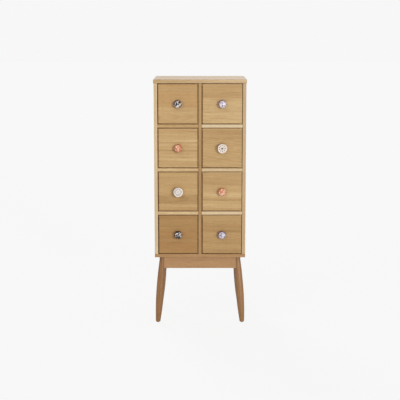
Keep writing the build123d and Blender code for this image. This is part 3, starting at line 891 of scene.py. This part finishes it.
def addBeads(knob, beads):
    # a ring of low glazed beads, each a flattened ball half sunk in the dish
    bpy.ops.object.select_all(action="DESELECT")
    bpy.ops.mesh.primitive_uv_sphere_add(segments=16, ring_count=10, radius=beads["radius"])
    bead = bpy.context.active_object
    bpy.ops.object.shade_smooth()
    shape = bead.data
    copies = []
    for turn in range(beads["count"]):
        angle = 2 * math.pi * turn / beads["count"]
        across, up = beads["ring"] * math.cos(angle), beads["ring"] * math.sin(angle)
        place = Matrix.Translation((across, -beads["height"], up))
        own = shape.copy()
        own.transform(place @ Matrix.Diagonal((1, beads["flatness"], 1, 1)))
        copy = bpy.data.objects.new("bead", own)
        bpy.context.scene.collection.objects.link(copy)
        copies.append(copy)
    bpy.data.objects.remove(bead)
    for copy in copies:
        copy.select_set(True)
    knob.select_set(True)
    bpy.context.view_layer.objects.active = knob
    bpy.ops.object.join()


def knobCopy(master, name, centre):
    # a copy with its own mesh, its place in the mesh
    mesh = master.data.copy()
    mesh.transform(Matrix.Translation(centre))
    piece = bpy.data.objects.new(name, mesh)
    bpy.context.scene.collection.objects.link(piece)
    return piece


sides, smoothing = knobSizes["sides"], knobSizes["smoothing"]
rings = (10.6 * mm, 15 * mm)
beadLook = {
    "count": 9,
    "ring": 12.4 * mm,
    "radius": 2.1 * mm,
    "height": 17.9 * mm,
    "flatness": 0.5,
}
dome = turnKnob("domeShape", domeProfile(knobSizes), sides, smoothing)
ringed = turnKnob("ringedShape", discProfile(knobSizes, rings), sides, smoothing)
beaded = turnKnob("beadedShape", discProfile(knobSizes, ()), sides, smoothing)
addBeads(beaded, beadLook)
print("Knob shapes turned")


# glazes

def makeGlazeSkin():
    # the slow waviness and fine peel of a fired glaze
    tree, given, made = newGroup("glazeSkin", {
        "Vector": ("Vector", None),
    }, {"Height": "Float", "Roughness": "Float"})
    wave = noise(tree, given["Vector"], (160.0, 160.0, 160.0), 1.0)
    peel = noise(tree, given["Vector"], (1500.0, 1500.0, 1500.0), 1.0)
    tree.links.new(calc(tree, "MULTIPLY_ADD", peel, 0.12, wave), made["Height"])
    tree.links.new(spread(tree, wave, 0.3, 0.7, 0.08, 0.16), made["Roughness"])
    return tree


def makeRoundPlace():
    # distance from the knob's axis, and the turn about it from 0 to 1
    tree, given, made = newGroup("roundPlace", {
        "Vector": ("Vector", None),
    }, {"Radius": "Float", "Turn": "Float"})
    flat = vectorCalc(tree, "MULTIPLY", given["Vector"], (1.0, 1.0, 0.0))
    across, up = put(tree, "SeparateXYZ", {0: flat}).outputs[:2]
    turn = calc(tree, "DIVIDE", calc(tree, "ARCTAN2", up, across), 2 * math.pi)
    tree.links.new(vectorCalc(tree, "LENGTH", flat), made["Radius"])
    tree.links.new(calc(tree, "FRACT", calc(tree, "ADD", turn, 1.0)), made["Turn"])
    return tree


glazeSkin = makeGlazeSkin()
roundPlace = makeRoundPlace()


def shadeRim(tree, spot, colour, look):
    # painted shade darkens the glaze where a knob turns in towards its neck, most of all at the upper
    # left
    shadeSpot = vectorCalc(tree, "ADD", spot, look["lean"])
    place = put(tree, "Group", {"Vector": shadeSpot}, node_tree=roundPlace)
    pool = spread(tree, place.outputs["Radius"], *look["pool"])
    return mix(tree, pool, colour, look["rim"], "MULTIPLY")


def marbled(tree, spot, look):
    # dark and pale slips swirled together
    moved = vectorCalc(tree, "ADD", spot, look["shift"])
    swirl = noise(tree, moved, (44.0, 56.0, 40.0), 1.0, 1.6)
    start, end = look["whiteBand"]
    colour = ramp(tree, swirl, [
        (start - 0.035, look["black"]), (start - 0.015, look["rose"]), (start, look["white"]),
        (end, look["white"]), (end + 0.02, look["mint"]), (end + 0.035, look["charcoal"]),
        (1.0, look["black"]),
    ])
    return shadeRim(tree, spot, colour, look)


def flecked(tree, spot, look):
    # two sizes of soft blue flecks on a pale ground
    moved = vectorCalc(tree, "ADD", spot, look["shift"])
    colour = look["ground"]
    for scale, reach, ink in ((150.0, 0.5, look["lilac"]), (190.0, 0.48, look["blue"])):
        cells = put(tree, "TexVoronoi", {"Vector": moved, "Scale": scale, "Randomness": 0.9})
        dice = put(tree, "SeparateXYZ", {0: cells.outputs["Color"]}).outputs[0]
        mask = spread(tree, cells.outputs["Distance"], reach * 0.75, reach, 1.0, 0.0)
        colour = mix(tree, calc(tree, "MULTIPLY", mask, spread(tree, dice, 0.2, 0.4)), colour, ink)
    return shadeRim(tree, spot, colour, look)


def coral(tree, spot, look):
    # paler clouds in a coral glaze
    moved = vectorCalc(tree, "ADD", spot, look["shift"])
    cloud = spread(tree, noise(tree, moved, (90.0, 75.0, 75.0), 2.0, 1.2), 0.44, 0.54)
    return shadeRim(tree, spot, mix(tree, cloud, look["coral"], look["pink"]), look)


def dotted(tree, spot, look):
    # the beads and a line round them picked out in grey
    place = put(tree, "Group", {"Vector": spot}, node_tree=roundPlace)
    around = calc(tree, "FRACT", calc(tree, "MULTIPLY_ADD", place.outputs["Turn"], look["count"], 0.5))
    arc = 2 * math.pi * look["ring"] / look["count"]
    beside = calc(tree, "MULTIPLY", calc(tree, "SUBTRACT", around, 0.5), arc)
    outside = calc(tree, "SUBTRACT", place.outputs["Radius"], look["ring"])
    reach = vectorCalc(tree, "LENGTH", put(tree, "CombineXYZ", {0: beside, 1: outside}).outputs[0])
    dot = spread(tree, reach, look["radius"] * 0.85, look["radius"] * 1.1, 1.0, 0.0)
    return shadeRim(tree, spot, mix(tree, dot, speckled(tree, spot, look), look["ink"]), look)


def ringedGlaze(tree, spot, look):
    # the two raised rings picked out in grey
    place = put(tree, "Group", {"Vector": spot}, node_tree=roundPlace)
    colour = speckled(tree, spot, look)
    for ring in look["rings"]:
        reach = calc(tree, "ABSOLUTE", calc(tree, "SUBTRACT", place.outputs["Radius"], ring))
        line = spread(tree, reach, 0.6 * mm, 1.3 * mm, 1.0, 0.0)
        colour = mix(tree, line, colour, look["ink"])
    return shadeRim(tree, spot, colour, look)


def speckled(tree, spot, look):
    # a cream white with a faint warm cloud and a few iron specks
    cloud = spread(tree, noise(tree, spot, (60.0, 60.0, 60.0), 2.0), 0.35, 0.65)
    speck = spread(tree, noise(tree, spot, (900.0, 900.0, 900.0), 0.0), 0.74, 0.8)
    colour = mix(tree, cloud, look["white"], look["cream"])
    return mix(tree, calc(tree, "MULTIPLY", speck, 0.5), colour, look["ink"])


glazeShine = {
    "specular": 0.4,
    "coat": 0.15,
    "coatRoughness": 0.05,
    "bump": 0.25,
    "bumpDepth": 0.0003,
}


def knobMaterial(name, centre, shift, paint, look):
    turn = Matrix((sideways, upwards, -inwards))
    material, tree, shader = newMaterial(name)
    place = put(tree, "TexCoord")
    spot = put(tree, "Mapping", {
        "Vector": place.outputs["Object"],
        "Location": -(turn @ centre),
        "Rotation": turn.to_euler(),
    }).outputs[0]
    skin = put(tree, "Group", {"Vector": spot}, node_tree=glazeSkin)
    bump = put(tree, "Bump", {
        "Strength": glazeShine["bump"],
        "Distance": glazeShine["bumpDepth"],
        "Height": skin.outputs["Height"],
    })
    feed(
        tree, shader,
        BaseColor=paint(tree, spot, {**look, "shift": shift}),
        Roughness=skin.outputs["Roughness"],
        Normal=bump.outputs[0],
        SpecularIORLevel=glazeShine["specular"],
        CoatWeight=glazeShine["coat"],
        CoatRoughness=glazeShine["coatRoughness"],
    )
    return material


# the painted shade on each knob: the radius where it starts and where it is full, and lean, how far it is
# off centre; rim in each look below is the colour of that shade
domeShade = {"pool": (13.5 * mm, 18.2 * mm), "lean": (-1.8 * mm, 1.1 * mm, 0.0)}
discShade = {"pool": (18.9 * mm, 22.2 * mm), "lean": (-1.4 * mm, 0.8 * mm, 0.0)}
marbledLook = {
    **domeShade, "black": tint(20, 14, 20), "charcoal": tint(60, 50, 54), "rose": tint(176, 136, 136),
    "white": tint(244, 234, 228), "mint": tint(174, 186, 176), "rim": (0.3, 0.18, 0.16, 1.0),
    "whiteBand": (0.475, 0.53),
}
darkerLook = {**marbledLook, "whiteBand": (0.48, 0.512)}
fleckedLook = {
    **domeShade, "ground": tint(244, 232, 234), "lilac": tint(160, 144, 174), "blue": tint(104, 104, 146),
    "rim": (0.34, 0.2, 0.2, 1.0),
}
bluerLook = {**fleckedLook, "ground": tint(220, 211, 220), "lilac": tint(124, 120, 160)}
coralLook = {
    **domeShade, "coral": tint(208, 122, 82), "pink": tint(243, 200, 172), "rim": (0.58, 0.36, 0.22, 1.0),
}
dottedLook = {
    **beadLook, **discShade, "white": tint(242, 228, 216), "cream": tint(232, 214, 200),
    "ink": tint(112, 100, 90), "rim": (0.26, 0.16, 0.1, 1.0),
}
ringedLook = {
    **discShade, "rings": rings, "white": tint(248, 236, 223), "cream": tint(240, 226, 210),
    "ink": tint(122, 124, 130), "rim": (0.26, 0.16, 0.1, 1.0),
}

knobs = {
    # the shape, the glaze and its colours, the place in its pattern, and the slot
    "left_drawer_1": (dome, marbled, marbledLook, (0.31, 0.12, 0.0), "marbled_ceramic"),
    "right_drawer_1": (dome, flecked, fleckedLook, (0.11, 0.42, 0.0), "flecked_ceramic"),
    "left_drawer_2": (dome, coral, coralLook, (0.2, 0.35, 0.0), "coral_ceramic"),
    "right_drawer_2": (beaded, dotted, dottedLook, None, "white_ceramic"),
    "left_drawer_3": (ringed, ringedGlaze, ringedLook, None, "white_ceramic"),
    "right_drawer_3": (dome, coral, coralLook, (0.52, 0.16, 0.0), "coral_ceramic"),
    "left_drawer_4": (dome, marbled, darkerLook, (0.77, 0.53, 0.0), "marbled_ceramic"),
    "right_drawer_4": (dome, flecked, bluerLook, (0.64, 0.23, 0.0), "flecked_ceramic"),
}

for drawer, (master, paint, look, shift, slot) in knobs.items():
    low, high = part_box(drawer + "_front")
    centre = Vector(((low.x + high.x) / 2, low.y, (low.z + high.z) / 2))
    piece = knobCopy(master, drawer + "_glazed_knob", centre)
    piece.data.materials.clear()
    piece.data.materials.append(knobMaterial(drawer + "_glaze", centre, shift, paint, look))
    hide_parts(drawer + "_knob")
    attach(piece, drawer)
    capStart = low.y - knobSizes["discTop"] + mm / 10
    metalsUsed = [finishes["brass"], finishes["zinc" if master is ringed else "agedCap"]]
    paintFaces(drawer + "_knob_bolt", metalsUsed, lambda middle: 1 if middle.y < capStart else 0)
for master in (dome, ringed, beaded):
    bpy.data.objects.remove(master)
print("Knobs glazed")


# floor, lamps and background

stageLook = {
    "size": 60.0,
    "background": tint(247, 247, 247),
    "floorBounce": 0.8,      # what the floor throws back on the object
    "floorSeen": 0.1,        # the share of its light and shadow that the camera sees
    "floorLevel": 0.928,
    "skyLight": 0.45,
}
suns = {
    # the way to the lamp, its energy, and how wide it is in degrees
    "keySun": ((0.45, -0.85, 0.16), 1.25, 13),
    "fillSun": ((-0.45, -0.7, 0.55), 0.55, 50),
    "backSun": ((-0.3, 0.7, 0.62), 0.7, 20),     # high, so that the top doesn't mirror it
}


def seenShare(tree):
    # 1 where the camera sees it, also as a reflection or through glass
    path = put(tree, "LightPath").outputs
    seen = calc(tree, "ADD", path["Is Camera Ray"], path["Is Glossy Ray"])
    return calc(tree, "ADD", seen, path["Is Transmission Ray"], clamp=True)


bpy.ops.mesh.primitive_plane_add(size=stageLook["size"])
floor = bpy.context.active_object
floor.name = "floor"
material, tree, shader = newMaterial("floor")
seen = seenShare(tree)
feed(
    tree, shader,
    BaseColor=mix(tree, seen, grey(stageLook["floorBounce"]), grey(stageLook["floorSeen"])),
    Roughness=1.0,
    SpecularIORLevel=0.0,
    EmissionColor=stageLook["background"],
    EmissionStrength=calc(tree, "MULTIPLY", seen, stageLook["floorLevel"]),
)
# from below the camera looks through the floor
below = put(tree, "NewGeometry").outputs["Backfacing"]
clear = put(tree, "BsdfTransparent").outputs[0]
below = calc(tree, "MULTIPLY", below, put(tree, "LightPath").outputs["Is Camera Ray"])
both = put(tree, "MixShader", {0: below, 1: shader.outputs[0], 2: clear})
tree.links.new(both.outputs[0], tree.nodes["Material Output"].inputs["Surface"])
floor.data.materials.append(material)

world = bpy.data.worlds.new("studio")
bpy.context.scene.world = world
world.use_nodes = True
tree = world.node_tree
backdrop = tree.nodes["Background"]
sky = mix(tree, seenShare(tree), grey(stageLook["skyLight"]), stageLook["background"])
tree.links.new(sky, backdrop.inputs["Color"])

for name, (direction, energy, width) in suns.items():
    lamp = bpy.data.lights.new(name, "SUN")
    lamp.energy = energy
    lamp.angle = math.radians(width)
    sun = bpy.data.objects.new(name, lamp)
    bpy.context.scene.collection.objects.link(sun)
    sun.rotation_euler = Vector(direction).to_track_quat("Z", "Y").to_euler()
print("Stage and lamps set")
